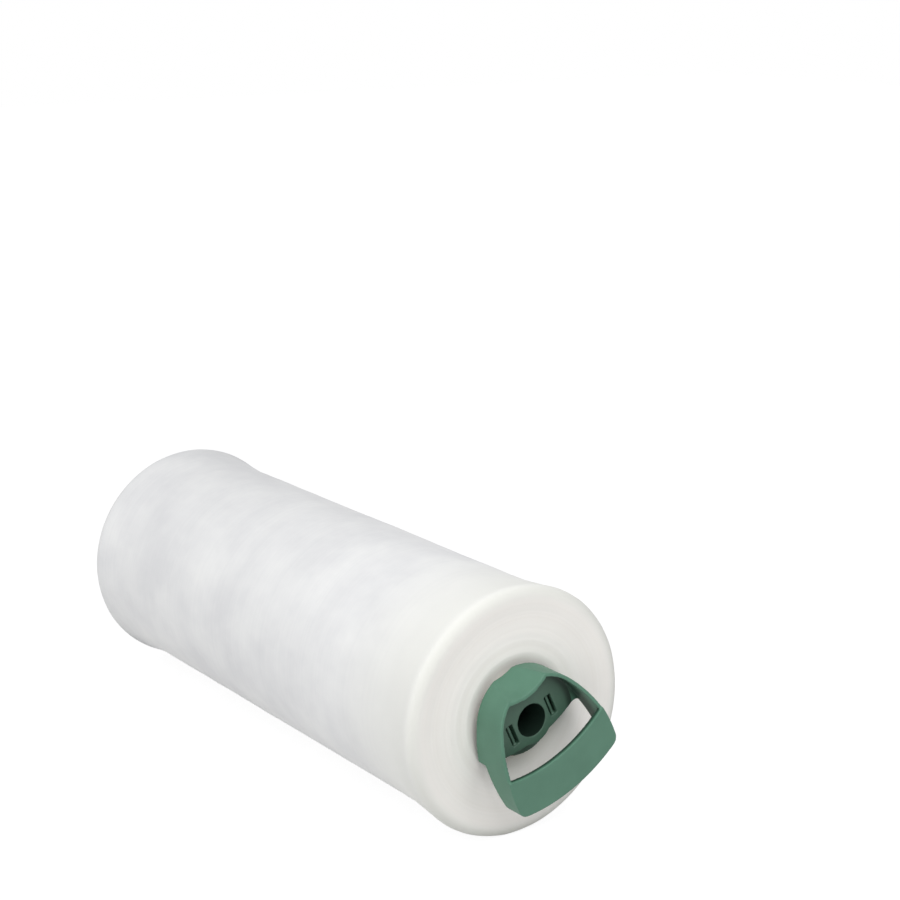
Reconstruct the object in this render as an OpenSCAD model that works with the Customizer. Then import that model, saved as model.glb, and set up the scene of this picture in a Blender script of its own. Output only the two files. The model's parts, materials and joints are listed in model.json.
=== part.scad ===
// Roll of stretch film on a paper core, lying on its side, with a turning
// grip handle plugged into one end.
// +X runs along the roll towards the handle, +Z is up.
// The origin lies on the floor, under the middle of the whole part.

/* [Film roll] */
// Width of the film, which is the length of the core
film_w = 450; // [300:5:600]
// Diameter of the roll between its ends
roll_d = 165.6; // [150:0.2:260]
// Growth of the radius at the end with the handle
near_flare = 3.4; // [1:0.1:7]
// Growth of the radius at the plain end
far_flare = 3.8; // [1:0.1:7]
// Length over which each end grows thicker
flare_len = 52; // [30:1:90]
// Rounding of the outer corner at each end
rim_r = 5; // [3:0.5:8]
// Width of the small flat that the roll's own weight presses into the near end
flat_w = 20; // [16:0.5:30]
// Distance by which the rim stands out past the film's end face
rim_proud = 2; // [1:0.1:5]
// Width of the slope from the rim down to the end face
rim_slope = 14; // [5:0.5:18]
// Spacing of the turns that stand out on the end faces
turn_pitch = 3.4; // [2:0.1:6]
// Depth of the groove between two such turns
turn_depth = 0.4; // [0.2:0.05:1]
// Depth of the shallow hollow in the film's end face round the core
eye_depth = 2; // [1:0.1:4]
// Width by which that hollow shows past the handle's round hub
eye_rim = 1.3; // [0.5:0.1:4]

/* [Core] */
// Bore of the paper core
core_bore = 50; // [50:0.5:76]
// Wall of the paper core
core_wall = 4; // [2:0.5:8]

/* [Core plug] */
// Depth to which the plug reaches into the core
plug_len = 44; // [42:1:70]
// Depth of the plug's inner sleeve, in which the handle turns
sleeve_len = 34; // [26:1:36]
// Thickness of the plug's walls
plug_wall = 2.5; // [1.5:0.1:4]
// Amount by which the pressed-in plug stretches the core's bore, on the radius
plug_stretch = 0.3; // [0.2:0.05:0.5]
// Interference that is left between the plug and the stretched core
plug_press = 0.1; // [0.05:0.01:0.2]
// Thickness of the collar that stops the plug at the core's end
collar_t = 2; // [1.5:0.1:4]
// Width by which the collar laps over the end of the core's wall
collar_lap = 3.4; // [1:0.1:3.6]
// Number of ribs between the plug's two sleeves
plug_ribs = 6; // [3:1:8]

/* [Handle base] */
// Radius of the round end of the handle
hub_r = 35.2; // [34:0.2:38]
// Thickness of the handle's walls
wall_t = 2.4; // [2:0.1:4]
// Distance of the inner floor from the film's end face
floor_out = 15; // [12:0.5:19]
// Thickness of the inner floor
floor_t = 3; // [2:0.1:4]
// Radius of the boss around the middle hole
boss_r = 17.1; // [16.6:0.1:20]
// Distance of the floor's lower edge from the middle hole's centre
floor_edge = 14.6; // [12:0.1:17]
// Radius of the fillets that join the floor's lower edge to the side walls
floor_fillet = 6; // [3:0.5:8]
// Distance below the roll's axis at which the side walls step back from the collar
base_low = 9; // [5:0.1:11]
// Gap between the turning handle and the plug's collar
turn_gap = 0.3; // [0.3:0.05:1]

/* [Handle grip] */
// Width of the handle across the grip bar
grip_w = 87; // [80:0.2:96]
// Distance of the grip bar's outer face from the film's end face
grip_out = 34.8; // [32:0.2:45]
// Distance of the handle's widest place below the roll's axis
grip_level = 31.5; // [28:0.5:36]
// Distance of the grip bar's lowest point below the roll's axis
grip_low = 49.7; // [47:0.1:55]
// Radius of the curve of the grip bar's lower edge
grip_low_r = 120; // [90:1:200]
// Distance of the middle of the grip bar's upper edge below the roll's axis
grip_high = 21.5; // [20:0.5:26]
// Radius of the curve of the grip bar's upper edge
grip_high_r = 105; // [80:1:200]
// Rounding of the grip bar's lower corners
grip_corner = 6.5; // [5:0.5:8]
// Thickness of the grip bar's plate
grip_t = 4; // [3:0.1:5]
// Distance from the film's end face to the back of the wall beside the floor
wall_back = 10; // [8:0.2:11.8]
// Distance from the film's end face to the back of the wall beside the grip
wall_back_low = 17; // [14:0.2:20]
// Distance from the film's end face to the back of the grip's lower lip
lip_back = 22; // [18:0.5:28]
// Tilt of the handle from hanging straight down, about the roll's axis
handle_tilt = 24.8; // [0:0.1:90]

/* [Thumb rest] */
// Distance of the middle of the thumb rest's front edge from the film's end face
thumb_out = 26.6; // [22:0.2:30]
// Height of the middle of that front edge above the roll's axis
thumb_rise = 27.6; // [24:0.2:30]
// Height of the middle of the thumb rest's back edge above the roll's axis
thumb_back = 33.6; // [31:0.2:34]
// Radius of the hollow of the thumb rest
thumb_r = 40; // [30:1:70]

/* [Spigot] */
// Radius of the hollow spigot that turns in the plug
spigot_r = 14; // [13:0.1:15]
// Radius of the hole through the handle and its spigot
hole_r = 11.2; // [9:0.1:12]
// Running clearance between the spigot and the plug, on the radius
run_gap = 0.05; // [0.02:0.01:0.1]
// Height of the snap barbs on the spigot's end
barb_h = 1.4; // [0.8:0.1:2]
// Length of the snap barbs
barb_len = 4; // [3:0.5:6]
// Length of the straight land behind the barbs' slope
barb_land = 1; // [0.5:0.1:2]
// Width of the cuts that split the spigot's end into snap fingers
finger_cut = 3; // [2:0.5:4]
// Length of those cuts
finger_len = 20; // [12:1:24]

/* [Floor slots] */
// Distance of each slot's middle from the roll's axis
slot_at = 17; // [16:0.1:18]
// Width of each slot in the floor
slot_w = 5.4; // [5:0.2:7]
// Length of each slot in the floor
slot_len = 15.5; // [12:0.5:18]
// Depth of each slot below the floor
slot_depth = 8; // [5:0.5:9]
// Thickness of the tongue that stands in each slot
tongue_t = 2; // [1.4:0.1:2.6]
// Depth of the tongue's top below the floor
tongue_low = 1.6; // [0.5:0.1:2.5]

/* [Hidden] */
film_colour = "whitesmoke";
core_colour = "tan";
plug_colour = "darkseagreen";
handle_colour = "seagreen";
$fn = 96;
// Amount by which a cut runs past its face, or a shape runs into the one it joins
past = 1;

roll_r = roll_d / 2;
near_r = roll_r + near_flare;
far_r = roll_r + far_flare;
axis_z = sqrt(near_r * near_r - flat_w * flat_w / 4);
near_x = (film_w + rim_proud - grip_out) / 2;
far_x = near_x - film_w;
core_r = core_bore / 2 + core_wall;
eye_r = max(hub_r, core_r + eye_depth) + eye_rim;

seat_r = core_bore / 2 + plug_stretch;
base_out = collar_t + turn_gap;
bore_r = spigot_r + run_gap;
spigot_in = sleeve_len + turn_gap + barb_len;
floor_back = floor_out - floor_t;
slot_back = floor_out - slot_depth;

// The handle's outline: a round hub, a long arc down each side that runs on
// smoothly from the hub, a rounded corner and the grip's lower edge.
half_w = grip_w / 2;
side_r = (half_w * half_w + grip_level * grip_level - hub_r * hub_r) / (2 * (half_w - hub_r));
side_c = [half_w - side_r, -grip_level];
low_c = [0, grip_low_r - grip_low];
high_c = [0, grip_high_r - grip_high];
floor_r = high_c[1] + floor_edge;
// Centre of the right fillet between the floor's lower edge and the side wall
fillet_c = meet(high_c, floor_r + floor_fillet, side_c, side_r - wall_t - floor_fillet);
corner_c = meet(low_c, grip_low_r - grip_corner, side_c, side_r - grip_corner);
hub_turn = atan2(grip_level, side_r - half_w);
side_turn = bearing(side_c, corner_c);
low_turn = bearing(low_c, corner_c);
// Slope of the handle's front, from the thumb rest down to the grip bar
front_slope = (grip_out - thumb_out) / (thumb_rise + grip_high);
// Slope of the thumb rest, from its back edge out to its front edge
thumb_turn = atan2(thumb_back - thumb_rise, thumb_out - base_out);

// The crossing of two circles that lies to the right of the line from c0 to c1
function meet(c0, r0, c1, r1) =
    let (d = c1 - c0, l = norm(d), a = (r0 * r0 - r1 * r1 + l * l) / (2 * l),
         h = sqrt(r0 * r0 - a * a))
    c0 + d * (a / l) + h * [-d[1], d[0]] / l;

// Direction from one point to another, in degrees
function bearing(from, to) = atan2(to[1] - from[1], to[0] - from[0]);

// Points of an arc from angle a0 to a1, without its first point
function arc(c, r, a0, a1, n) =
    [for (i = [1:n]) let (a = a0 + (a1 - a0) * i / n) c + r * [cos(a), sin(a)]];

// Right half of the handle's outline, set in by t, from the top to the bottom
function half_outline(t) = concat(
    [[0, hub_r - t]],
    arc([0, 0], hub_r - t, 90, hub_turn, 16),
    arc(side_c, side_r - t, hub_turn, side_turn, 16),
    arc(corner_c, grip_corner - t, side_turn, low_turn, 8),
    arc(low_c, grip_low_r - t, low_turn, -90, 10));

function mirrored(p) = [for (i = [len(p) - 2:-1:1]) [-p[i][0], p[i][1]]];

// Points of the profile of one end, from the core out along the body.
// Each point is the distance in from the end face, then the radius.
// A shallow hollow lies round the core, turns stand out on the face, the rim
// swells out past it, and then the body grows thinner inwards.
function end_profile(flare) =
    let (crest_r = roll_r + flare - rim_r,
         face_r = crest_r - rim_slope,
         turns = floor((face_r - eye_r) / turn_pitch),
         pitch = (face_r - eye_r) / turns,
         body_steps = 7)
    concat(
        [[eye_depth, core_r], [eye_depth, eye_r - eye_depth]],
        [for (i = [0:turns - 1], k = [0, 1]) [k * turn_depth, eye_r + (i + k / 2) * pitch]],
        [for (t = [0:0.25:0.75]) [-rim_proud * (1 - cos(180 * t)) / 2, face_r + rim_slope * t]],
        [for (a = [0:15:90]) [rim_r - rim_proud - rim_r * cos(a), crest_r + rim_r * sin(a)]],
        [for (i = [1:body_steps])
            let (t = i / body_steps)
            [rim_r - rim_proud + flare_len * t, roll_r + flare * pow(1 - t, 2)]]);

function reversed(p) = [for (i = [len(p) - 1:-1:0]) p[i]];

// Turns a shape drawn about +Z so that it lies along the roll's axis, with
// its z = 0 on the roll's end face and its +Z towards the handle
module on_axis() {
    translate([near_x, 0, axis_z]) rotate([90, 0, 90]) children();
}

// The same, for what turns with the handle: its -Y points to the grip bar
module on_handle() {
    translate([near_x, 0, axis_z]) rotate([handle_tilt, 0, 0]) rotate([90, 0, 90]) children();
}

module film_roll() {
    near = end_profile(near_flare);
    far = reversed(end_profile(far_flare));
    points = concat(
        [for (p = near) [p[1], -p[0]]],
        [for (p = far) [p[1], p[0] - film_w]]);
    color(film_colour) intersection() {
        on_axis() rotate_extrude($fn = 128) polygon(points);
        translate([far_x - rim_proud - past, -far_r - past, 0])
            cube([film_w + 2 * (rim_proud + past), 2 * (far_r + past), axis_z + far_r + past]);
    }
}

module core_tube() {
    color(core_colour) on_axis() translate([0, 0, -film_w]) difference() {
        cylinder(h = film_w, r = core_r);
        translate([0, 0, -past]) cylinder(h = film_w + 2 * past, d = core_bore);
        translate([0, 0, film_w - plug_len]) cylinder(h = plug_len + past, r = seat_r);
    }
}

// A sleeve that grips the core, a sleeve that carries the spigot, and ribs
// and a collar that join them
module core_plug() {
    outer_r = seat_r + plug_press;
    inner_r = bore_r + plug_wall;
    rib_len = sleeve_len - plug_wall;
    color(plug_colour) on_axis() difference() {
        union() {
            difference() {
                translate([0, 0, -plug_len]) cylinder(h = plug_len, r = outer_r);
                translate([0, 0, -plug_len - past])
                    cylinder(h = plug_len + past, r = outer_r - plug_wall);
            }
            cylinder(h = collar_t, r = core_bore / 2 + collar_lap);
            translate([0, 0, -sleeve_len]) cylinder(h = sleeve_len + collar_t, r = inner_r);
            for (i = [0:plug_ribs - 1]) rotate(i * 360 / plug_ribs)
                translate([bore_r + plug_wall / 2, -plug_wall / 2, -rib_len])
                    cube([outer_r - bore_r - plug_wall, plug_wall, rib_len + past]);
        }
        translate([0, 0, -plug_len - past])
            cylinder(h = plug_len + collar_t + 2 * past, r = bore_r);
    }
}

// The handle's outline, set in by t, as a block from z0 to z1
module outline_block(t, z0, z1) {
    p = half_outline(t);
    translate([0, 0, z0]) linear_extrude(z1 - z0) polygon(concat(p, mirrored(p)));
}

// A round block about the grip's arc, used to trim the floor and the bar
module grip_round(r, z0, z1) {
    translate([high_c[0], high_c[1], z0]) cylinder(h = z1 - z0, r = r, $fn = 180);
}

// The hollow of the thumb rest, set in by t
module thumb_hollow(t) {
    translate([0, thumb_back, base_out]) rotate([thumb_turn, 0, 0])
        translate([0, thumb_r, -2 * hub_r]) cylinder(h = 4 * hub_r, r = thumb_r + t);
}

// The handle seen from its side: what lies outside this block is cut away
module side_block() {
    top = hub_r + past;
    low = -grip_low - past;
    wide = half_w + past;
    translate([wide, 0, 0]) rotate([0, -90, 0]) linear_extrude(2 * wide) polygon([
        [base_out, top],
        [grip_out - front_slope * (top + grip_high), top],
        [grip_out, -grip_high],
        [grip_out, low],
        [lip_back, low],
        [wall_back_low, -grip_level - wall_t],
        [wall_back, -base_low],
        [base_out, -base_low]]);
}

// The wall that runs all round the outline, deep at the hub and at the sides
module handle_wall() {
    intersection() {
        difference() {
            outline_block(0, base_out, grip_out);
            outline_block(wall_t, base_out - past, grip_out + past);
        }
        side_block();
    }
}

// The hollow base behind the inner floor, with the boss in its middle
module handle_base() {
    difference() {
        intersection() {
            outline_block(wall_t / 2, base_out, floor_out);
            grip_round(floor_r, base_out - past, floor_out + past);
        }
        intersection() {
            outline_block(wall_t, base_out - past, floor_back);
            grip_round(floor_r - wall_t, base_out - 2 * past, floor_back + past);
        }
    }
    translate([0, 0, base_out]) cylinder(h = floor_out - base_out, r = boss_r);
    for (side = [0, 1]) mirror([side, 0, 0]) corner_fillet();
}

// The fillet in the right corner between the floor and the side wall. It fills
// the corner out to points that lie inside the floor and inside the wall.
module corner_fillet() {
    on_floor = bearing(high_c, fillet_c);
    on_wall = bearing(side_c, fillet_c);
    translate([0, 0, floor_back]) linear_extrude(floor_t) difference() {
        polygon([
            fillet_c,
            high_c + (floor_r - wall_t) * [cos(on_floor), sin(on_floor)],
            meet(high_c, floor_r - wall_t, side_c, side_r - wall_t / 2),
            side_c + (side_r - wall_t / 2) * [cos(on_wall), sin(on_wall)]]);
        translate(fillet_c) circle(r = floor_fillet);
    }
}

module grip_bar() {
    difference() {
        outline_block(0, grip_out - grip_t, grip_out);
        grip_round(grip_high_r, grip_out - grip_t - past, grip_out + past);
    }
}

// The top wall, which follows the hollow of the thumb rest
module thumb_wall() {
    intersection() {
        outline_block(0, base_out, grip_out);
        thumb_hollow(wall_t);
        side_block();
    }
}

// The spigot with a barbed end
module spigot_body() {
    tip = -spigot_in;
    rotate_extrude() polygon([
        [hole_r - past, tip],
        [spigot_r - barb_h / 2, tip],
        [spigot_r + barb_h, tip + barb_len - barb_land],
        [spigot_r + barb_h, tip + barb_len],
        [spigot_r, tip + barb_len],
        [spigot_r, base_out + past],
        [hole_r - past, base_out + past]]);
}

// The cuts that split the spigot's end into snap fingers
module finger_cuts() {
    for (a = [45, 135]) rotate(a)
        translate([-2 * spigot_r, -finger_cut / 2, -spigot_in - past])
            cube([4 * spigot_r, finger_cut, finger_len + past]);
}

module slot_pair() {
    for (s = [-1, 1]) translate([s * slot_at - slot_w / 2, -slot_len / 2, slot_back])
        cube([slot_w, slot_len, slot_depth + past]);
}

module tongue_pair() {
    for (s = [-1, 1]) translate([s * slot_at - tongue_t / 2, -slot_len / 2 - past, slot_back - past])
        cube([tongue_t, slot_len + 2 * past, slot_depth + past - tongue_low]);
}

module grip_handle() {
    color(handle_colour) on_handle() difference() {
        union() {
            difference() {
                union() {
                    handle_wall();
                    handle_base();
                    grip_bar();
                    thumb_wall();
                }
                thumb_hollow(0);
                slot_pair();
            }
            tongue_pair();
            spigot_body();
        }
        finger_cuts();
        translate([0, 0, -spigot_in - past])
            cylinder(h = spigot_in + floor_out + 2 * past, r = hole_r);
    }
}

film_roll();
core_tube();
core_plug();
grip_handle();
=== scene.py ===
# %% [markdown]
# # A roll of stretch film with a turning grip handle
# The roll is a soft, milky cylinder of very thin polyethylene film, wound some
# thousands of times round a brown paper tube. A green plastic handle plugs into
# one end and turns there, so that a packer can walk round a pallet with it.
# The CAD model gives every size and place, and this script gives the looks.

# %% Load the CAD model and keep its box
import json
import math
import random

import bpy
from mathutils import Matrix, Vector

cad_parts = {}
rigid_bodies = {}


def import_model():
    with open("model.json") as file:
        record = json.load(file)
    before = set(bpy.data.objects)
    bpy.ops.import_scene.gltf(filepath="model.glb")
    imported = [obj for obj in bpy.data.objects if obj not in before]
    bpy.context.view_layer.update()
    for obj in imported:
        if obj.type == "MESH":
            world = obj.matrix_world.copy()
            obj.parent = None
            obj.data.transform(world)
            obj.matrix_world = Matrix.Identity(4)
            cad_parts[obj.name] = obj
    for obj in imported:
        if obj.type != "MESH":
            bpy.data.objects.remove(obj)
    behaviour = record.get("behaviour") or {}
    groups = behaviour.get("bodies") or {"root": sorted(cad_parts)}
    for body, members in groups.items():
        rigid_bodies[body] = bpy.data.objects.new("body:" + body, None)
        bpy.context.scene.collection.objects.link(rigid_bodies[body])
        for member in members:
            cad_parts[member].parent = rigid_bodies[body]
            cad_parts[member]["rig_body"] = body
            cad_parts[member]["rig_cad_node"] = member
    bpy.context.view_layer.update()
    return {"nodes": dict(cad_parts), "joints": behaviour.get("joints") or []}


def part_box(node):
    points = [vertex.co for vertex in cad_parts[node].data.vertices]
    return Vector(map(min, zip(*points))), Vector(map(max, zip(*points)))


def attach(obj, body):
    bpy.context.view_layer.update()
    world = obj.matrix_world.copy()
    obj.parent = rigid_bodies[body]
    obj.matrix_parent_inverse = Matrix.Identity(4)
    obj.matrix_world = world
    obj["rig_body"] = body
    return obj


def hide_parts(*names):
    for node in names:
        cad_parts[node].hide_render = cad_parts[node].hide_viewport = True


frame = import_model()

# %% [markdown]
# The handle's joint lies on the roll's axis, at the end face of the film, so it
# is the handiest point to measure from. Every size is written in millimetres
# and turned into Blender's metres by one factor.

# %% Where the axis and the film's two end faces are
MM = 0.001
spin = frame["joints"][0]
NEAR_X, _, AXIS_Z = spin["pos_m"]
film_low, film_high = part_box("film_roll")
RIM_PROUD = film_high.x - NEAR_X
FAR_X = film_low.x + RIM_PROUD
MID_X = (NEAR_X + FAR_X) / 2
print("film is", round((NEAR_X - FAR_X) / MM), "mm wide, axis at", round(AXIS_Z / MM, 1), "mm")

# %% [markdown]
# The camera stands above the handle's end and to its left, with a long lens, as
# the photographer stood. Its place was worked out from the outline of the roll.

# %% Camera
eye = Vector((0.9599, -0.7390, 0.4814))
camera_data = bpy.data.cameras.new("photo_camera")
camera_data.lens = 79.08
camera_data.sensor_width = 36
camera = bpy.data.objects.new("photo_camera", camera_data)
bpy.context.scene.collection.objects.link(camera)
camera.location = Vector((NEAR_X, 0, AXIS_Z)) + eye
camera.rotation_euler = (math.radians(75.9), 0, math.radians(54.5))
bpy.context.scene.camera = camera
print("camera at", [round(c, 3) for c in camera.location])

# %% [markdown]
# Three small helpers serve all the modelling. Each operator of Blender acts on
# whatever is selected, so the first clears the selection, the second picks
# vertices by their place, and the third moves a piece's place and turn into its mesh.

# %% Helpers for modelling
def clear_selection():
    if bpy.context.object and bpy.context.object.mode != "OBJECT":
        bpy.ops.object.mode_set(mode="OBJECT")
    bpy.ops.object.select_all(action="DESELECT")


def pick(piece, wanted):
    """Goes to edit mode with only the vertices selected whose place is wanted."""
    bpy.ops.object.mode_set(mode="EDIT")
    bpy.ops.mesh.select_mode(type="VERT")
    bpy.ops.mesh.select_all(action="DESELECT")
    bpy.ops.object.mode_set(mode="OBJECT")
    for vertex in piece.data.vertices:
        vertex.select = wanted(vertex.co)
    bpy.ops.object.mode_set(mode="EDIT")
    bpy.ops.mesh.select_mode(type="VERT")


def place_in_mesh(piece):
    """Moves the object's place and turn into its mesh."""
    bpy.ops.object.transform_apply(location=True, rotation=True, scale=True)
    return piece


# %% [markdown]
# ## The wound film
# On the real roll the film lies looser at its edges, so both ends grow a few
# millimetres thicker, and the outer turns slip a little past the others and
# make a soft rounded rim. It could be one spun profile. It is modelled from a
# cylinder instead, cut into rings that are then scaled, because rings are easy
# to read and to correct one by one.

# %% A tube of film, open at both ends
RINGS_ROUND = 160
ROLL_R = 82.8 * MM
CORE_R = 29 * MM
RIM_R = 7 * MM
NEAR_FLARE = 3.4 * MM
FAR_FLARE = 3.8 * MM
RIM_STAND = 1.2 * MM
body_end = RIM_R - RIM_STAND

clear_selection()
bpy.ops.mesh.primitive_cylinder_add(
    vertices=RINGS_ROUND, radius=ROLL_R, depth=NEAR_X - FAR_X - 2 * body_end,
    end_fill_type="NOTHING", location=(MID_X, 0, AXIS_Z), rotation=(0, math.pi / 2, 0))
film = place_in_mesh(bpy.context.object)
film.name = film.data.name = "film_winding"
print("tube with", len(film.data.vertices), "vertices")

# %% [markdown]
# Cutting planes square to the axis give the rings: close together near the
# ends, where the shape changes, and about 14 mm apart between.

# %% Cut the tube into rings
FLARE_LEN = 52 * MM
near_cuts = [4, 8, 12, 17, 22, 28, 35, 43, 52]
middle_cuts = range(66, 390, 14)
ring_x = sorted([NEAR_X - body_end - d * MM for d in near_cuts]
                + [FAR_X + body_end + d * MM for d in near_cuts]
                + [FAR_X + d * MM for d in middle_cuts])
bpy.ops.object.mode_set(mode="EDIT")
for x in ring_x:
    bpy.ops.mesh.select_all(action="SELECT")
    bpy.ops.mesh.bisect(plane_co=(x, 0, 0), plane_no=(1, 0, 0))
bpy.ops.object.mode_set(mode="OBJECT")
print(len(ring_x), "rings cut")

# %% [markdown]
# Each ring gets its radius. The ends swell with a smooth curve, and between
# them the radius wanders by a few tenths, as film of uneven thickness builds
# up soft bands.

# %% Give each ring its radius
band = random.Random(11)


def swell(distance, flare):
    """Growth of the radius at a distance from where the rim begins."""
    t = max(0.0, 1 - distance / FLARE_LEN)
    return flare * t * t


def scale_ring(x, radius):
    pick(film, lambda co: abs(co.x - x) < 0.1 * MM)
    s = radius / ROLL_R
    bpy.ops.transform.resize(value=(1, s, s), center_override=(x, 0, AXIS_Z))


near_edge, far_edge = NEAR_X - body_end, FAR_X + body_end
for x in [far_edge] + ring_x + [near_edge]:
    grown = swell(near_edge - x, NEAR_FLARE) + swell(x - far_edge, FAR_FLARE)
    scale_ring(x, ROLL_R + grown - band.uniform(0, 0.25) * MM * (grown < 1 * MM))
bpy.ops.object.mode_set(mode="OBJECT")
print("film is", round(film.dimensions.z / MM, 1), "mm across at its ends")

# %% [markdown]
# From each open edge the surface goes on in small extrusions: round the rim,
# down a slope to the end face, over the turns that stand out there, and into
# the shallow hollow round the core. The turns differ a little, and their steps
# come from a seeded random number, so each run gives the same roll.

# %% Profile of one end, as steps of (distance in from the face, radius)
RIM_SLOPE = 14 * MM
SLOPE_STEPS = 10
TURN_PITCH = 1.6 * MM
TURN_STEP = 0.25 * MM
EYE_R = 42 * MM
EYE_FOOT_R = 31 * MM
EYE_DEPTH = 2 * MM
EYE_STEPS = 8


def end_steps(flare, seed):
    turn = random.Random(seed)
    crest = ROLL_R + flare - RIM_R
    foot = crest - RIM_SLOPE
    steps = [(body_end - RIM_R * math.sin(a), crest + RIM_R * math.cos(a))
             for a in [math.radians(15 * i) for i in range(1, 7)]]
    steps += [(-RIM_STAND * (1 + math.cos(math.pi * t)) / 2, crest - RIM_SLOPE * t)
              for t in [i / SLOPE_STEPS for i in range(1, SLOPE_STEPS + 1)]]
    count = round((foot - EYE_R) / TURN_PITCH)
    for i in range(1, count + 1):
        depth = turn.uniform(0.05, 1) * TURN_STEP if i < count else 0
        steps.append((depth, foot - (foot - EYE_R) * i / count))
    steps += [(EYE_DEPTH * (1 - math.cos(math.pi * t)) / 2, EYE_R + (EYE_FOOT_R - EYE_R) * t)
              for t in [i / EYE_STEPS for i in range(1, EYE_STEPS + 1)]]
    return steps + [(EYE_DEPTH, CORE_R)]


print(len(end_steps(NEAR_FLARE, 3)), "steps from the rim to the core")


# %% Extrude both ends along their profiles
def close_end(face_x, inward, edge_x, flare, seed):
    pick(film, lambda co: abs(co.x - edge_x) < 0.1 * MM)
    d0, r0 = body_end, ROLL_R + flare
    for d, r in end_steps(flare, seed):
        bpy.ops.mesh.extrude_edges_move(
            TRANSFORM_OT_translate={"value": ((d - d0) * inward, 0, 0)})
        bpy.ops.transform.resize(value=(1, r / r0, r / r0),
                                 center_override=(face_x, 0, AXIS_Z))
        d0, r0 = d, r


close_end(NEAR_X, -1, near_edge, NEAR_FLARE, 3)
close_end(FAR_X, 1, far_edge, FAR_FLARE, 8)
bpy.ops.object.mode_set(mode="OBJECT")
print("film now has", len(film.data.polygons), "faces")

# %% [markdown]
# The two inner edges are bridged along the core, which closes the mesh.

# %% Bridge along the core
pick(film, lambda co: math.hypot(co.y, co.z - AXIS_Z) < CORE_R + 0.1 * MM)
bpy.ops.mesh.bridge_edge_loops()
bpy.ops.mesh.select_all(action="SELECT")
bpy.ops.mesh.normals_make_consistent(inside=False)
bpy.ops.object.mode_set(mode="OBJECT")
print("film is closed, with", len(film.data.polygons), "faces")

# %% [markdown]
# Real film never lies quite true. Two soft cloud textures push the surface in
# by a few tenths, one wide and one fine. After that the underside of the two
# thick ends is pressed flat on the floor, as the roll's own weight does.

# %% Soft unevenness of the wound film
def dent(piece, name, size, depth):
    cloud = bpy.data.textures.new(name, "CLOUDS")
    cloud.noise_scale = size
    clear_selection()
    bpy.context.view_layer.objects.active = piece
    piece.select_set(True)
    push = piece.modifiers.new(name, "DISPLACE")
    push.texture = cloud
    push.texture_coords = "LOCAL"
    push.mid_level = 1
    push.strength = depth
    bpy.ops.object.modifier_apply(modifier=name)


dent(film, "wide_dents", 55 * MM, 0.7 * MM)
dent(film, "fine_dents", 14 * MM, 0.25 * MM)
PRESSED = 0.35 * MM
pick(film, lambda co: co.z < PRESSED)
bpy.ops.transform.resize(value=(1, 1, 0), center_override=(0, 0, 0))
clear_selection()
bpy.context.view_layer.objects.active = film
film.select_set(True)
bpy.ops.object.shade_smooth_by_angle(angle=math.radians(60))
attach(film, "roll")
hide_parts("film_roll")
print("film is", [round(d / MM, 1) for d in film.dimensions], "mm")

# %% [markdown]
# ## The paper core
# The core is a tube of brown paper plies wound on a slant. Its cut ends are
# slightly softened by handling. It is made from a cylinder whose edges are
# turned in to the bore, with a step where the plug has stretched the paper, and
# the two linings are then bridged.

# %% Core tube
BORE_R = 25 * MM
SEAT_R = 25.3 * MM
SOFT_EDGE = 0.4 * MM
seat_len = NEAR_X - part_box("core_plug")[0].x

clear_selection()
bpy.ops.mesh.primitive_cylinder_add(
    vertices=96, radius=CORE_R - 0.05 * MM, depth=NEAR_X - FAR_X, end_fill_type="NOTHING",
    location=(MID_X, 0, AXIS_Z), rotation=(0, math.pi / 2, 0))
core = place_in_mesh(bpy.context.object)
core.name = core.data.name = "paper_core"


def line_core(edge_x, inward, bore, *further):
    """Turns the tube's edge in to the bore, then along it by the further steps."""
    pick(core, lambda co: abs(co.x - edge_x) < 0.1 * MM)
    d0, r0 = 0.0, CORE_R
    for d, r in [(0.0, CORE_R - SOFT_EDGE), (0.0, bore + SOFT_EDGE), (SOFT_EDGE, bore), *further]:
        bpy.ops.mesh.extrude_edges_move(
            TRANSFORM_OT_translate={"value": ((d - d0) * inward, 0, 0)})
        bpy.ops.transform.resize(value=(1, r / r0, r / r0),
                                 center_override=(edge_x, 0, AXIS_Z))
        d0, r0 = d, r


line_core(NEAR_X, -1, SEAT_R, (seat_len, SEAT_R), (seat_len, BORE_R))
line_core(FAR_X, 1, BORE_R)
pick(core, lambda co: math.hypot(co.y, co.z - AXIS_Z) < BORE_R + 0.1 * MM)
bpy.ops.mesh.bridge_edge_loops()
bpy.ops.mesh.select_all(action="SELECT")
bpy.ops.mesh.normals_make_consistent(inside=False)
bpy.ops.object.mode_set(mode="OBJECT")
bpy.ops.object.shade_smooth_by_angle(angle=math.radians(35))
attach(core, "roll")
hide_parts("core_tube")
print("core has", len(core.data.polygons), "faces")

# %% [markdown]
# ## The moulded pieces
# The handle and its plug are injection moulded, so every edge carries a small
# radius, in the inside corners too, and it catches the light. Their shapes are
# right in the CAD model, and what they lack is that rounding. A bevel does it on
# a simple block, but here it would fold the many thin faces over. A copy of each
# CAD mesh is merged instead, remeshed in cells of half a millimetre, smoothed by
# a few passes, and thinned out again where it is flat.

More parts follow.
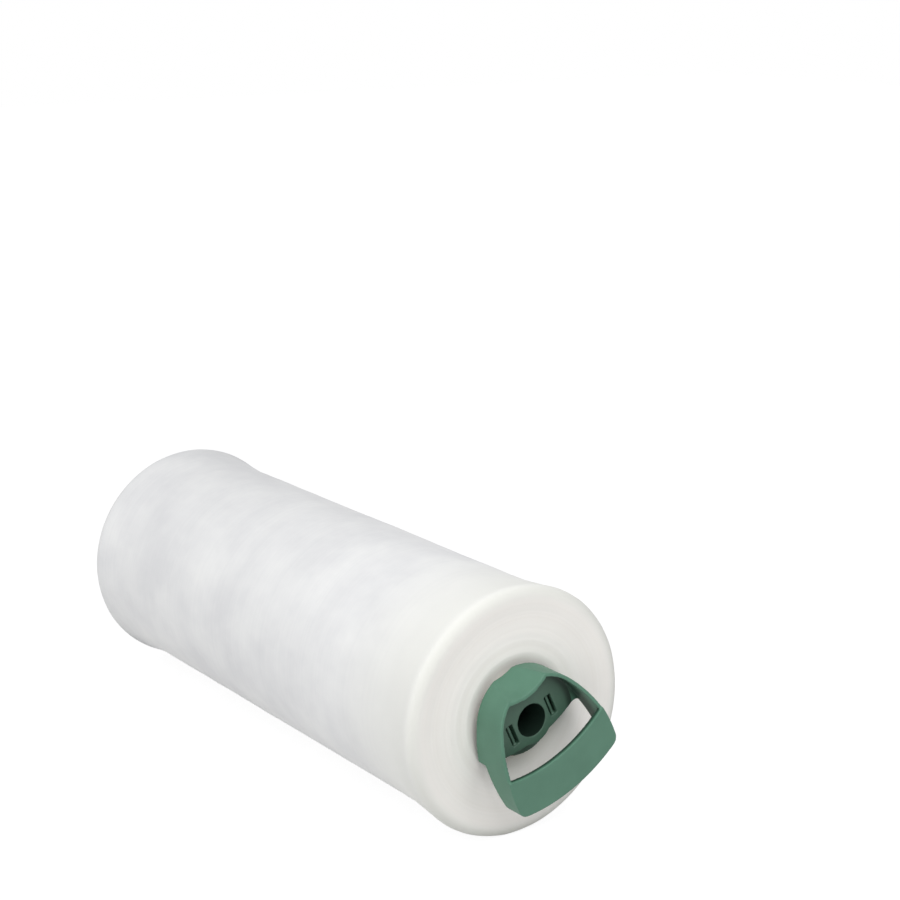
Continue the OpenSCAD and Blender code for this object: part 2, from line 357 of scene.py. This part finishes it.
# %% Copies of the moulded CAD pieces with rounded edges
def moulded_copy(node, name, body, cell, passes, kept_share):
    clear_selection()
    source = frame["nodes"][node]
    piece = source.copy()
    piece.data = source.data.copy()
    piece.parent = None
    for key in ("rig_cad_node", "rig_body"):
        if key in piece:
            del piece[key]
    piece.name = piece.data.name = name
    bpy.context.scene.collection.objects.link(piece)
    bpy.context.view_layer.objects.active = piece
    piece.select_set(True)
    bpy.ops.object.mode_set(mode="EDIT")
    bpy.ops.mesh.select_all(action="SELECT")
    bpy.ops.mesh.remove_doubles(threshold=0.01 * MM)
    bpy.ops.object.mode_set(mode="OBJECT")
    cells = piece.modifiers.new("cells", "REMESH")
    cells.mode = "VOXEL"
    cells.voxel_size = cell
    bpy.ops.object.modifier_apply(modifier="cells")
    rounding = piece.modifiers.new("rounding", "SMOOTH")
    rounding.factor = 0.5
    rounding.iterations = passes
    bpy.ops.object.modifier_apply(modifier="rounding")
    thinning = piece.modifiers.new("thinning", "DECIMATE")
    thinning.ratio = kept_share
    bpy.ops.object.modifier_apply(modifier="thinning")
    bpy.ops.object.shade_smooth()
    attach(piece, body)
    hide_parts(node)
    print(name, "has", len(piece.data.polygons), "faces")
    return piece


handle = moulded_copy("grip_handle", "turning_handle", "handle", 0.5 * MM, 4, 0.5)
plug = moulded_copy("core_plug", "fixed_plug", "roll", 0.6 * MM, 2, 0.4)

# %% [markdown]
# ## Materials
# Colours are written as the hex values one would pick on a screen, and one
# function turns them into the linear numbers that the shader works with. One
# more function adds a node with its settings and its links.

# %% Colour and node helpers
def linear(hex_colour):
    parts = [int(hex_colour[i:i + 2], 16) / 255 for i in (1, 3, 5)]
    return [c / 12.92 if c <= 0.04045 else ((c + 0.055) / 1.055) ** 2.4 for c in parts] + [1]


def add(tree, kind, settings=None, **inputs):
    """Adds a node. An input is a value, or an output socket to link from."""
    node = tree.nodes.new("ShaderNode" + kind)
    for name, value in (settings or {}).items():
        setattr(node, name, value)
    for name, value in inputs.items():
        key = int(name[1:]) if name[1:].isdigit() else name.replace("_", " ")
        if isinstance(value, bpy.types.NodeSocket):
            tree.links.new(value, node.inputs[key])
        else:
            node.inputs[key].default_value = value
    return node


def ease(tree, value, start, end, low=0, high=1):
    """Changes smoothly from low, where the value is start, to high, where it is end."""
    node = add(tree, "MapRange", {"interpolation_type": "SMOOTHSTEP"}, Value=value)
    for key, number in (("From Min", start), ("From Max", end), ("To Min", low), ("To Max", high)):
        node.inputs[key].default_value = number
    return node.outputs["Result"]


def distance(tree, point, centre):
    return add(tree, "VectorMath", {"operation": "DISTANCE"}, i0=point, i1=centre).outputs["Value"]


def all_of(tree, mask, *others):
    """The product of masks, which is one only where all of them are."""
    for other in others:
        mask = add(tree, "Math", {"operation": "MULTIPLY"}, i0=mask, i1=other).outputs["Value"]
    return mask


def new_material(name):
    material = bpy.data.materials.new(name)
    material.use_nodes = True
    tree = material.node_tree
    tree.nodes.clear()
    shader = add(tree, "BsdfPrincipled")
    add(tree, "OutputMaterial", Surface=shader.outputs["BSDF"])
    place = add(tree, "TexCoord").outputs["Object"]
    return material, tree, shader, place


def wear(piece, material):
    piece.data.materials.clear()
    piece.data.materials.append(material)
    print(piece.name, "is made of", material.name)


def ramp(tree, factor, stops):
    """A colour ramp from (position, hex colour) stops."""
    node = add(tree, "ValToRGB", Fac=factor)
    points = node.color_ramp.elements
    while len(points) < len(stops):
        points.new(0.5)
    for point, (position, colour) in zip(points, stops):
        point.position = position
        point.color = linear(colour)
    return node.outputs["Color"]


# %% [markdown]
# Cast linear low density polyethylene film is clear by itself. Wound thousands
# of times it turns milky white with a faint blue cast, as light is scattered
# between the turns, and it shows cloudy patches where air is caught and very
# faint lines round the roll. Looking at the film's edges on the end face the
# white is warmer and denser, with a ring for every turn that slipped. Towards
# the handle's end the body gets painted light, a lighter and warmer white, and
# the rim gets painted shade, a slightly darker white that tones its highlight down.

# %% Wound stretch film
film_pe, tree, shader, place = new_material("wound_polyethylene_film")
shader.inputs["IOR"].default_value = 1.51

centred = add(tree, "Mapping", Vector=place)
centred.inputs["Location"].default_value = (-MID_X, 0, -AXIS_Z)
split = add(tree, "SeparateXYZ", Vector=centred.outputs["Vector"])
along = split.outputs["X"]
flat = add(tree, "CombineXYZ", Y=split.outputs["Y"], Z=split.outputs["Z"])
radius = distance(tree, flat.outputs["Vector"], (0, 0, 0))
print("film material started")

# %% Cloudy patches and the lines round the roll
clouds = add(tree, "TexNoise", Vector=centred.outputs["Vector"], Scale=22, Detail=4,
             Roughness=0.55).outputs["Fac"]
patches = ramp(tree, clouds, [(0.3, "#E3E3E3"), (0.5, "#EBEBEA"), (0.7, "#F2F2F0")])
# the lines are 3 mm apart on average, which is coarser than real gauge lines
around = add(tree, "CombineXYZ", X=along)
lines = add(tree, "TexNoise", Vector=around.outputs["Vector"], Scale=330, Detail=2).outputs["Fac"]
lined = add(tree, "MixRGB", {"blend_type": "MULTIPLY"}, Fac=0.06, Color1=patches,
            Color2=ramp(tree, lines, [(0.35, "#C8CDD2"), (0.65, "#FFFFFF")]))
off_middle = add(tree, "Math", {"operation": "ABSOLUTE"}, i0=along).outputs["Value"]
half_film = (NEAR_X - FAR_X) / 2
dull_edge = ease(tree, off_middle, half_film - 30 * MM, half_film - 8 * MM, 0.45, 0.72)
tree.links.new(dull_edge, shader.inputs["Roughness"])
# Painted light: towards the handle's end the body turns a lighter, warmer white.
near_end_painted_light = ease(tree, along, half_film - 110 * MM, half_film - 10 * MM, high=0.8)
body_colour = add(tree, "MixRGB", Fac=near_end_painted_light, Color1=lined.outputs["Color"],
                  Color2=linear("#EDEDE6"))
print("body colour made")

# %% Warm end face with rings
spoke = add(tree, "CombineXYZ", X=radius)
rings = add(tree, "TexNoise", Vector=spoke.outputs["Vector"], Scale=420, Detail=3).outputs["Fac"]
broad = add(tree, "TexNoise", Vector=spoke.outputs["Vector"], Scale=70, Detail=1).outputs["Fac"]
warm = ramp(tree, broad, [(0.35, "#F5F1EB"), (0.65, "#F9F6F1")])
ringed = add(tree, "MixRGB", {"blend_type": "MULTIPLY"}, Fac=0.05, Color1=warm,
             Color2=ramp(tree, rings, [(0.35, "#BFBAB0"), (0.65, "#FFFFFF")]))
is_end = ease(tree, off_middle, half_film - 6 * MM, half_film)
end_mix = all_of(tree, is_end, ease(tree, radius, ROLL_R + 1 * MM, ROLL_R - 8 * MM))
# Painted shade: the rim at both ends turns a darker white, which tones its highlight down.
rim_painted_shade = add(tree, "MixRGB", Fac=is_end, Color1=body_colour.outputs["Color"],
                 Color2=linear("#E1E1DA"))
colour = add(tree, "MixRGB", Fac=end_mix, Color1=rim_painted_shade.outputs["Color"],
             Color2=ringed.outputs["Color"])
tree.links.new(colour.outputs["Color"], shader.inputs["Base Color"])
print("end colour made")

# %% Fine relief of the film
relief = add(tree, "MixRGB", Fac=end_mix, Color1=lines, Color2=rings)
bump = add(tree, "Bump", Height=relief.outputs["Color"], Strength=0.15, Distance=0.2 * MM)
soft = add(tree, "Bump", Height=clouds, Strength=0.25, Distance=1.0 * MM,
           Normal=bump.outputs["Normal"])
tree.links.new(soft.outputs["Normal"], shader.inputs["Normal"])
wear(film, film_pe)

# %% [markdown]
# Core board is recycled kraft paper: dull, brown, with short fibres, and a
# slanted seam where the outer ply meets itself.

# %% Kraft paper core board
kraft, tree, shader, place = new_material("spiral_kraft_board")
shader.inputs["Roughness"].default_value = 0.9
centred = add(tree, "Mapping", Vector=place)
centred.inputs["Location"].default_value = (0, 0, -AXIS_Z)
split = add(tree, "SeparateXYZ", Vector=centred.outputs["Vector"])
angle = add(tree, "Math", {"operation": "ARCTAN2"}, i0=split.outputs["Z"], i1=split.outputs["Y"])
turns = add(tree, "Math", {"operation": "DIVIDE"}, i0=angle.outputs["Value"], i1=2 * math.pi)
PLY_PITCH = 95 * MM
travel = add(tree, "Math", {"operation": "DIVIDE"}, i0=split.outputs["X"], i1=PLY_PITCH)
helix = add(tree, "Math", {"operation": "ADD"}, i0=travel.outputs["Value"],
            i1=turns.outputs["Value"])
phase = add(tree, "Math", {"operation": "FRACT"}, i0=helix.outputs["Value"]).outputs["Value"]
seam = ramp(tree, phase, [(0.0, "#6E5236"), (0.012, "#FFFFFF"),
                          (0.985, "#FFFFFF"), (1.0, "#6E5236")])
fibres = add(tree, "TexNoise", Vector=centred.outputs["Vector"], Scale=900, Detail=5).outputs["Fac"]
paper = ramp(tree, fibres, [(0.3, "#9C7A52"), (0.5, "#AE8C62"), (0.72, "#BC9C74")])
seamed = add(tree, "MixRGB", {"blend_type": "MULTIPLY"}, Fac=0.8, Color1=paper, Color2=seam)
tree.links.new(seamed.outputs["Color"], shader.inputs["Base Color"])
bump = add(tree, "Bump", Height=fibres, Strength=0.4, Distance=0.15 * MM)
tree.links.new(bump.outputs["Normal"], shader.inputs["Normal"])
wear(core, kraft)

# %% [markdown]
# The handle is polypropylene, moulded in a tool with a fine spark-eroded
# texture. That gives a flat, slightly dusty sheen, with the colour all through
# the plastic, and a little polish where hands rub it. The photograph shows the
# pocket, its walls, the grip bar's top face and the bore in deeper shade than
# the two lamps here leave there, so those places get a darker tint. The tint
# stands in for that shade, and isn't a second colour of the plastic.

# %% Measures of the handle that its tints need
HANDLE_TILT = math.radians(24.8)
FLOOR_OUT = 15 * MM
GRIP_OUT = 34.8 * MM
GRIP_T = 4 * MM
HOLE_R = 11.2 * MM
HUB_INNER_R = 32.8 * MM
THUMB_WALL_UP = 25 * MM
INNER_HALF_W = 40.7 * MM
GRIP_ARC_R, GRIP_ARC_AT = 105 * MM, (0, 83.5 * MM, 0)
SIDE_ARC_R, SIDE_ARC_AT = 96.7 * MM, (-55.6 * MM, -31.5 * MM, 0)


def handle_frame(tree, place):
    """Depth out from the film's end, height and distance sideways, as the handle hangs."""
    centred = add(tree, "Mapping", Vector=place)
    centred.inputs["Location"].default_value = (-NEAR_X, 0, -AXIS_Z)
    upright = add(tree, "Mapping", Vector=centred.outputs["Vector"])
    upright.inputs["Rotation"].default_value = (-HANDLE_TILT, 0, 0)
    split = add(tree, "SeparateXYZ", Vector=upright.outputs["Vector"])
    sideways = add(tree, "Math", {"operation": "ABSOLUTE"}, i0=split.outputs["Y"]).outputs["Value"]
    return split.outputs["X"], split.outputs["Z"], sideways


print("handle hangs", round(math.degrees(HANDLE_TILT), 1), "degrees from straight down")


# %% Masks for the places in shade
def shade_masks(tree, place):
    """Masks for the pocket's floor, its walls, the grip bar's top face and the bore."""
    depth, level, sideways = handle_frame(tree, place)
    flat = add(tree, "CombineXYZ", X=sideways, Y=level).outputs["Vector"]
    radius = distance(tree, flat, (0, 0, 0))
    from_side = distance(tree, flat, SIDE_ARC_AT)
    from_grip = distance(tree, flat, GRIP_ARC_AT)
    below_thumb = ease(tree, level, THUMB_WALL_UP + 0.5 * MM, THUMB_WALL_UP - 1 * MM)

    in_hub = all_of(tree, below_thumb,
                    ease(tree, radius, HUB_INNER_R + 1 * MM, HUB_INNER_R + 0.2 * MM))
    pocket = all_of(tree, in_hub, ease(tree, depth, FLOOR_OUT + 1.6 * MM, FLOOR_OUT + 0.6 * MM))

    hub_wall = all_of(tree, in_hub,
                      ease(tree, radius, HUB_INNER_R - 5.8 * MM, HUB_INNER_R - 0.8 * MM))
    side_wall = all_of(tree, ease(tree, from_side, SIDE_ARC_R + 1.4 * MM, SIDE_ARC_R + 0.6 * MM),
                       ease(tree, from_side, SIDE_ARC_R - 5 * MM, SIDE_ARC_R - 0.6 * MM))
    walls = add(tree, "Math", {"operation": "MAXIMUM"}, i0=side_wall, i1=hub_wall).outputs["Value"]
    walls = all_of(tree, walls, below_thumb,
                   ease(tree, depth, FLOOR_OUT + 14 * MM, FLOOR_OUT + 4 * MM))

    bar_top = all_of(tree, ease(tree, from_grip, GRIP_ARC_R + 1.4 * MM, GRIP_ARC_R + 0.6 * MM),
                     ease(tree, from_grip, GRIP_ARC_R - 1.2 * MM, GRIP_ARC_R - 0.6 * MM),
                     ease(tree, sideways, INNER_HALF_W + 0.3 * MM, INNER_HALF_W - 0.5 * MM),
                     ease(tree, depth, GRIP_OUT - 1.2 * MM, GRIP_OUT - 2 * MM),
                     ease(tree, depth, GRIP_OUT - GRIP_T - 1 * MM, GRIP_OUT - GRIP_T - 0.6 * MM))

    bore = all_of(tree, ease(tree, radius, HOLE_R + 0.7 * MM, HOLE_R + 0.2 * MM),
                  ease(tree, depth, FLOOR_OUT - 0.1 * MM, FLOOR_OUT - 0.8 * MM))
    return pocket, walls, bar_top, bore


print("masks ready")


# %% Moulded polypropylene
def moulded_pp(name, dark, middle, light):
    material, tree, shader, place = new_material(name)
    shader.inputs["IOR"].default_value = 1.49
    grain = add(tree, "TexNoise", Vector=place, Scale=2600, Detail=2).outputs["Fac"]
    flow = add(tree, "TexNoise", Vector=place, Scale=60, Detail=3).outputs["Fac"]
    colour = ramp(tree, flow, [(0.3, dark), (0.5, middle), (0.7, light)])
    pocket, walls, bar_top, bore = shade_masks(tree, place)
    for mask, tint in ((pocket, "#DACFD0"), (walls, "#8C9490"), (bar_top, "#9C9C9C")):
        colour = add(tree, "MixRGB", {"blend_type": "MULTIPLY"}, Fac=mask, Color1=colour,
                     Color2=linear(tint)).outputs["Color"]
    shaded = add(tree, "MixRGB", Fac=bore, Color1=colour, Color2=linear("#1A2B23"))
    tree.links.new(shaded.outputs["Color"], shader.inputs["Base Color"])
    polish = add(tree, "MapRange", Value=flow)
    polish.inputs["To Min"].default_value = 0.42
    polish.inputs["To Max"].default_value = 0.56
    tree.links.new(polish.outputs["Result"], shader.inputs["Roughness"])
    bump = add(tree, "Bump", Height=grain, Strength=0.25, Distance=0.05 * MM)
    tree.links.new(bump.outputs["Normal"], shader.inputs["Normal"])
    return material


wear(handle, moulded_pp("moulded_green_polypropylene", "#4B7560", "#4F7964", "#537D68"))
wear(plug, moulded_pp("moulded_plug_polypropylene", "#476F5B", "#4B735F", "#4F7763"))

# %% [markdown]
# ## Floor and light
# The photograph has a plain white ground. The floor is a pale board whose
# colour is lifted to white for the camera only, so that the light on the
# object stays as it is and the soft shadow still shows.

# %% Floor
FLOOR_LIFT = 0.7
clear_selection()
bpy.ops.mesh.primitive_plane_add(size=12, location=(0, 0, 0))
floor = bpy.context.object
floor.name = "studio_floor"
white = bpy.data.materials.new("white_studio_floor")
white.use_nodes = True
tree = white.node_tree
tree.nodes.clear()
paint = add(tree, "BsdfDiffuse", Color=linear("#CCCCCC"))
lift = add(tree, "Emission", Color=(1, 1, 1, 1), Strength=1.30)
ray = add(tree, "LightPath")
seen = add(tree, "Math", {"operation": "MAXIMUM"}, i0=ray.outputs["Is Camera Ray"],
           i1=ray.outputs["Is Glossy Ray"])
share = add(tree, "Math", {"operation": "MULTIPLY"}, i0=seen.outputs["Value"], i1=FLOOR_LIFT)
lifted = add(tree, "MixShader", i0=share.outputs["Value"], i1=paint.outputs["BSDF"],
             i2=lift.outputs["Emission"])
add(tree, "OutputMaterial", Surface=lifted.outputs["Shader"])
floor.data.materials.append(white)
print("floor laid")

# %% World
world = bpy.data.worlds.new("studio_world")
bpy.context.scene.world = world
world.use_nodes = True
tree = world.node_tree
tree.nodes.clear()
ray = add(tree, "LightPath")
seen = add(tree, "Math", {"operation": "MAXIMUM"}, i0=ray.outputs["Is Camera Ray"],
           i1=ray.outputs["Is Glossy Ray"])
seen = add(tree, "Math", {"operation": "MAXIMUM"}, i0=seen.outputs["Value"],
           i1=ray.outputs["Is Transmission Ray"])
ambient = add(tree, "Background", Color=linear("#F6F7FB"), Strength=0.56)
shown = add(tree, "Background", Color=(1, 1, 1, 1), Strength=1)
chosen = add(tree, "MixShader", i0=seen.outputs["Value"], i1=ambient.outputs["Background"],
             i2=shown.outputs["Background"])
add(tree, "OutputWorld", Surface=chosen.outputs["Shader"])
print("world set")


# %% Lamps
def soft_sun(name, towards, share, spread):
    """A lamp that lights a surface facing it to that share of its own colour."""
    data = bpy.data.lights.new(name, "SUN")
    data.energy = math.pi * share
    data.angle = math.radians(spread)
    lamp = bpy.data.objects.new(name, data)
    bpy.context.scene.collection.objects.link(lamp)
    lamp.location = towards
    lamp.rotation_euler = Vector(towards).to_track_quat("Z", "Y").to_euler()


def softbox(name, location, size, share):
    """A square lamp that does the same to a surface at the middle of the handle's end."""
    towards = Vector((NEAR_X, 0, AXIS_Z)) - Vector(location)
    data = bpy.data.lights.new(name, "AREA")
    data.shape = "SQUARE"
    data.size = size
    data.energy = share * math.pi ** 2 * towards.length_squared
    lamp = bpy.data.objects.new(name, data)
    bpy.context.scene.collection.objects.link(lamp)
    lamp.location = location
    lamp.rotation_euler = towards.to_track_quat("-Z", "Y").to_euler()
    lamp.visible_camera = False


soft_sun("light_from_the_left", (0.3, -0.88, 0.37), 0.38, 60)
softbox("softbox_over_the_end", (NEAR_X + 0.48, -0.08, 0.74), 0.6, 0.46)
bpy.context.scene.view_settings.view_transform = "Standard"
print("two lamps lit")
